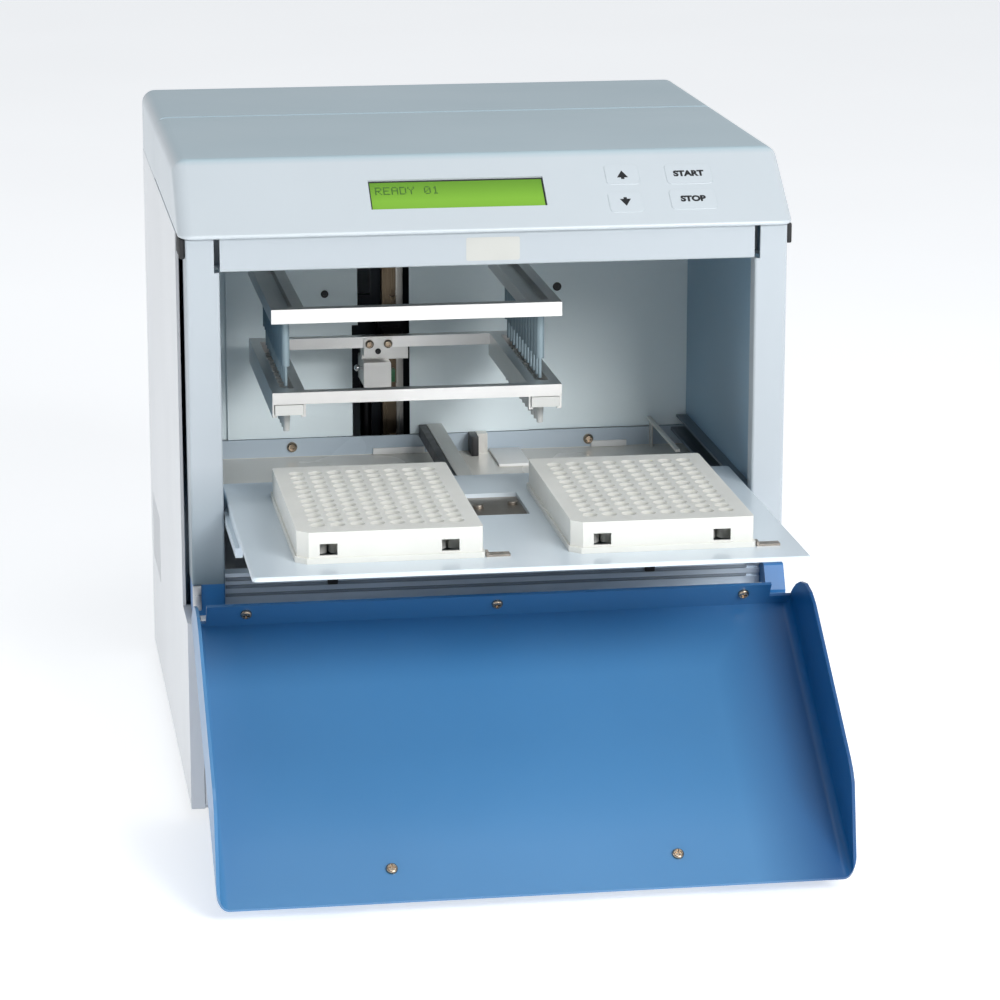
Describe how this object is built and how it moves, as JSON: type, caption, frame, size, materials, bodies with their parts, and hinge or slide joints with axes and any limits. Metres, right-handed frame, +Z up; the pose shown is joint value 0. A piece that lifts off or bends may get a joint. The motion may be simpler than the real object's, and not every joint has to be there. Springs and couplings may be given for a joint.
{
  "type": "nucleic acid extractor",
  "caption": "Bench-top magnetic rod nucleic acid extractor with a drop-down door, a driven tray for microplates and a travelling rod head.",
  "frame": {"origin": "centre of the bounding box footprint at the level of the feet, door open and tray out", "axes": "+Z up, +Y towards the back of the case, +X towards the right-hand side as seen by the user at the front"},
  "size_m": [0.2936, 0.4468, 0.315],
  "materials": {
    "side_paint": "fine texture powder coat, light grey",
    "hood_paint": "smooth satin, blue grey",
    "column_paint": "fine texture powder coat, pale grey",
    "inner_paint": "satin blue grey inside the chamber",
    "door_paint": "satin sky blue",
    "tray_finish": "fine matte anodised",
    "bright_alu": "machined and bright anodised",
    "steel": "ground",
    "chromed": "polished",
    "plate_plastic": "natural polypropylene, white",
    "rubber_black": "matt",
    "black_plastic": "fine grain",
    "motor_black": "black",
    "board_green": "solder mask",
    "key_blue": "smooth key caps",
    "lens": "tinted yellow green window",
    "zinc": "zinc plated"
  },
  "bodies": {
    "chassis": {"base_plate": "zinc", "rubber_feet": "rubber_black", "side_panel_left": "side_paint", "side_panel_right": "side_paint", "lower_front_panel": "side_paint", "rear_panel": "side_paint", "front_hood": "hood_paint", "rear_top_cover": "hood_paint", "display_window": "lens", "display_module": "board_green", "keypad_board": "board_green", "column_left": "column_paint", "column_right": "column_paint", "header_rail": "column_paint", "inner_frame_left": "inner_paint", "inner_frame_right": "inner_paint", "chamber_back_wall": "inner_paint", "rear_cross_member": "inner_paint", "front_sill": "column_paint", "hinge_blocks": "door_paint", "tray_rails": "bright_alu", "hinge_leaf_fixed": "steel", "hinge_pin": "steel", "x_guide_rods": "chromed", "x_axis_supports": "bright_alu", "x_belt": "rubber_black", "x_motor": "motor_black", "main_board": "board_green", "power_supply": "zinc", "fan_housing": "black_plastic", "mains_inlet": "black_plastic", "switch_housing": "black_plastic", "serial_port": "zinc", "casing_screws": "chromed"},
    "door": {"door_panel": "door_paint", "hinge_leaf_door": "steel", "door_screws": "chromed", "door_pull": "bright_alu"},
    "tray": {"tray_plate": "tray_finish", "tray_fittings": "bright_alu", "microplate_left": "plate_plastic", "microplate_right": "plate_plastic"},
    "head_carriage": {"x_carriage": "bright_alu", "z_rail": "steel", "shield_plate": "inner_paint", "z_actuators": "motor_black"},
    "comb_stage": {"comb_frame": "bright_alu", "tip_combs": "plate_plastic", "comb_bracket": "bright_alu"},
    "magnet_stage": {"magnet_frame": "bright_alu", "magnet_rods": "chromed", "magnet_bracket": "bright_alu"},
    "drive_pulley": {"x_drive_pulley": "bright_alu"},
    "idler_pulley": {"x_idler_pulley": "bright_alu"},
    "up_key": {"key_up": "key_blue"},
    "down_key": {"key_down": "key_blue"},
    "start_key": {"key_start": "key_blue"},
    "stop_key": {"key_stop": "key_blue"},
    "mains_rocker": {"switch_rocker": "black_plastic"},
    "cooling_fan": {"fan_rotor": "black_plastic"}
  },
  "joints": [
    {"name": "door_hinge", "type": "hinge", "parent": "chassis", "child": "door", "pos_m": [0, -0.08486, 0.1033], "axis": [-1, 0, 0], "range_deg": [0, 124.2]},
    {"name": "tray_slide", "type": "slide", "parent": "chassis", "child": "tray", "axis": [0, 1, 0], "range_m": [0, 0.1356]},
    {"name": "head_traverse", "type": "slide", "parent": "chassis", "child": "head_carriage", "axis": [1, 0, 0], "range_m": [0, 0.064]},
    {"name": "comb_lift", "type": "slide", "parent": "head_carriage", "child": "comb_stage", "axis": [0, 0, -1], "range_m": [0, 0.021]},
    {"name": "magnet_lift", "type": "slide", "parent": "comb_stage", "child": "magnet_stage", "axis": [0, 0, -1], "range_m": [0, 0.0195]},
    {"name": "drive_pulley_turn", "type": "hinge", "parent": "chassis", "child": "drive_pulley", "pos_m": [0.104, 0.17944, 0.19], "axis": [0, 1, 0], "range_deg": [0, 577]},
    {"name": "idler_pulley_turn", "type": "hinge", "parent": "chassis", "child": "idler_pulley", "pos_m": [-0.104, 0.17944, 0.19], "axis": [0, 1, 0], "range_deg": [0, 577]},
    {"name": "up_key_press", "type": "slide", "parent": "chassis", "child": "up_key", "axis": [0, 0.5771, -0.8167], "range_m": [0, 0.0004], "stiffness_N_per_m": 800, "springref_m": -0.0003},
    {"name": "down_key_press", "type": "slide", "parent": "chassis", "child": "down_key", "axis": [0, 0.5771, -0.8167], "range_m": [0, 0.0004], "stiffness_N_per_m": 800, "springref_m": -0.0003},
    {"name": "start_key_press", "type": "slide", "parent": "chassis", "child": "start_key", "axis": [0, 0.5771, -0.8167], "range_m": [0, 0.0004], "stiffness_N_per_m": 800, "springref_m": -0.0003},
    {"name": "stop_key_press", "type": "slide", "parent": "chassis", "child": "stop_key", "axis": [0, 0.5771, -0.8167], "range_m": [0, 0.0004], "stiffness_N_per_m": 800, "springref_m": -0.0003},
    {"name": "mains_rocker_tilt", "type": "hinge", "parent": "chassis", "child": "mains_rocker", "pos_m": [0.072, 0.21843, 0.042], "axis": [1, 0, 0], "range_deg": [0, 12]},
    {"name": "fan_spin", "type": "hinge", "parent": "chassis", "child": "cooling_fan", "pos_m": [-0.078, 0.21044, 0.196], "axis": [0, 1, 0], "continuous": true}
  ],
  "couplings": [
    {"joint": "tray_slide", "follows": "door_hinge", "m_per_rad": 0.06255},
    {"joint": "drive_pulley_turn", "follows": "head_traverse", "rad_per_m": 156.99},
    {"joint": "idler_pulley_turn", "follows": "head_traverse", "rad_per_m": 156.99}
  ]
}
